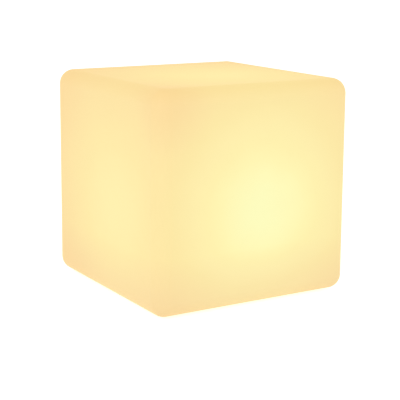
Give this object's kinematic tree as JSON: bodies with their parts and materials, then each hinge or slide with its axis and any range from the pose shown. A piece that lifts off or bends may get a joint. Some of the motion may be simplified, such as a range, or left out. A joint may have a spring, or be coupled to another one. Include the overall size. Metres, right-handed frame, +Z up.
{
  "type": "led cube light",
  "caption": "Rounded cube lamp for outdoors: a hollow translucent shell that glows from a sealed, rechargeable LED module screwed into its base.",
  "frame": {"origin": "middle of the footprint on the ground, at the underside of the four feet", "axes": "+Z up, -Y out of the front face, +X to the right as seen from the front"},
  "size_m": [0.2, 0.2, 0.197],
  "materials": {
    "shell_plastic": "translucent, fine matt mould texture, glows when lit",
    "insert_brass": "turned",
    "foot_rubber": "matt",
    "housing_plastic": "fine spark-eroded texture",
    "seal_rubber": "smooth",
    "screw_steel": "bright",
    "cover_plastic": "fine spark-eroded texture",
    "button_rubber": "soft matt",
    "black_plastic": "moulded",
    "port_metal": "plated",
    "flap_silicone": "soft matt",
    "pipe_plastic": "clear",
    "led_white": "phosphor",
    "board_green": "solder mask",
    "tray_plastic": "moulded",
    "cell_sleeve": "shrink sleeve over a steel can",
    "contact_nickel": "plated",
    "pad_foam": "foam",
    "pad_silicone": "soft sheet",
    "spreader_aluminium": "stamped sheet",
    "board_white": "white solder mask",
    "cap_opal": "opal",
    "lead_red": "insulation",
    "lead_black": "insulation"
  },
  "bodies": {
    "lamp": {"shell": "shell_plastic", "thread_inserts": "insert_brass", "rubber_feet": "foot_rubber", "module_body": "housing_plastic", "module_seal": "seal_rubber", "module_screws": "screw_steel", "bottom_cover": "cover_plastic", "cover_seal": "seal_rubber", "cover_screws": "screw_steel", "push_switch": "black_plastic", "charge_port": "port_metal", "port_tongue": "black_plastic", "flap_anchor": "flap_silicone", "status_pipe": "pipe_plastic", "status_led": "led_white", "control_board": "board_green", "board_parts": "black_plastic", "lower_tray": "tray_plastic", "upper_tray": "tray_plastic", "battery_cells": "cell_sleeve", "lower_contacts": "contact_nickel", "upper_contact": "contact_nickel", "cell_pads": "pad_foam", "heat_spreader": "spreader_aluminium", "thermal_pad": "pad_silicone", "led_board": "board_white", "leds": "led_white", "light_cap": "cap_opal", "positive_lead": "lead_red", "negative_lead": "lead_black"},
    "button": {"power_button": "button_rubber"},
    "plunger": {"switch_plunger": "black_plastic"},
    "flap": {"port_flap": "flap_silicone"}
  },
  "joints": [
    {"name": "button_press", "type": "slide", "parent": "lamp", "child": "button", "axis": [0, 0, 1], "range_m": [0, 0.0005], "stiffness_N_per_m": 2000},
    {"name": "plunger_slide", "type": "slide", "parent": "lamp", "child": "plunger", "axis": [0, 0, 1], "range_m": [0, 0.0005]},
    {"name": "flap_hinge", "type": "hinge", "parent": "lamp", "child": "flap", "pos_m": [0, -0.02178, 0.0088], "axis": [-1, 0, 0], "range_deg": [0, 150]}
  ],
  "couplings": [
    {"joint": "plunger_slide", "follows": "button_press", "ratio": 1}
  ]
}
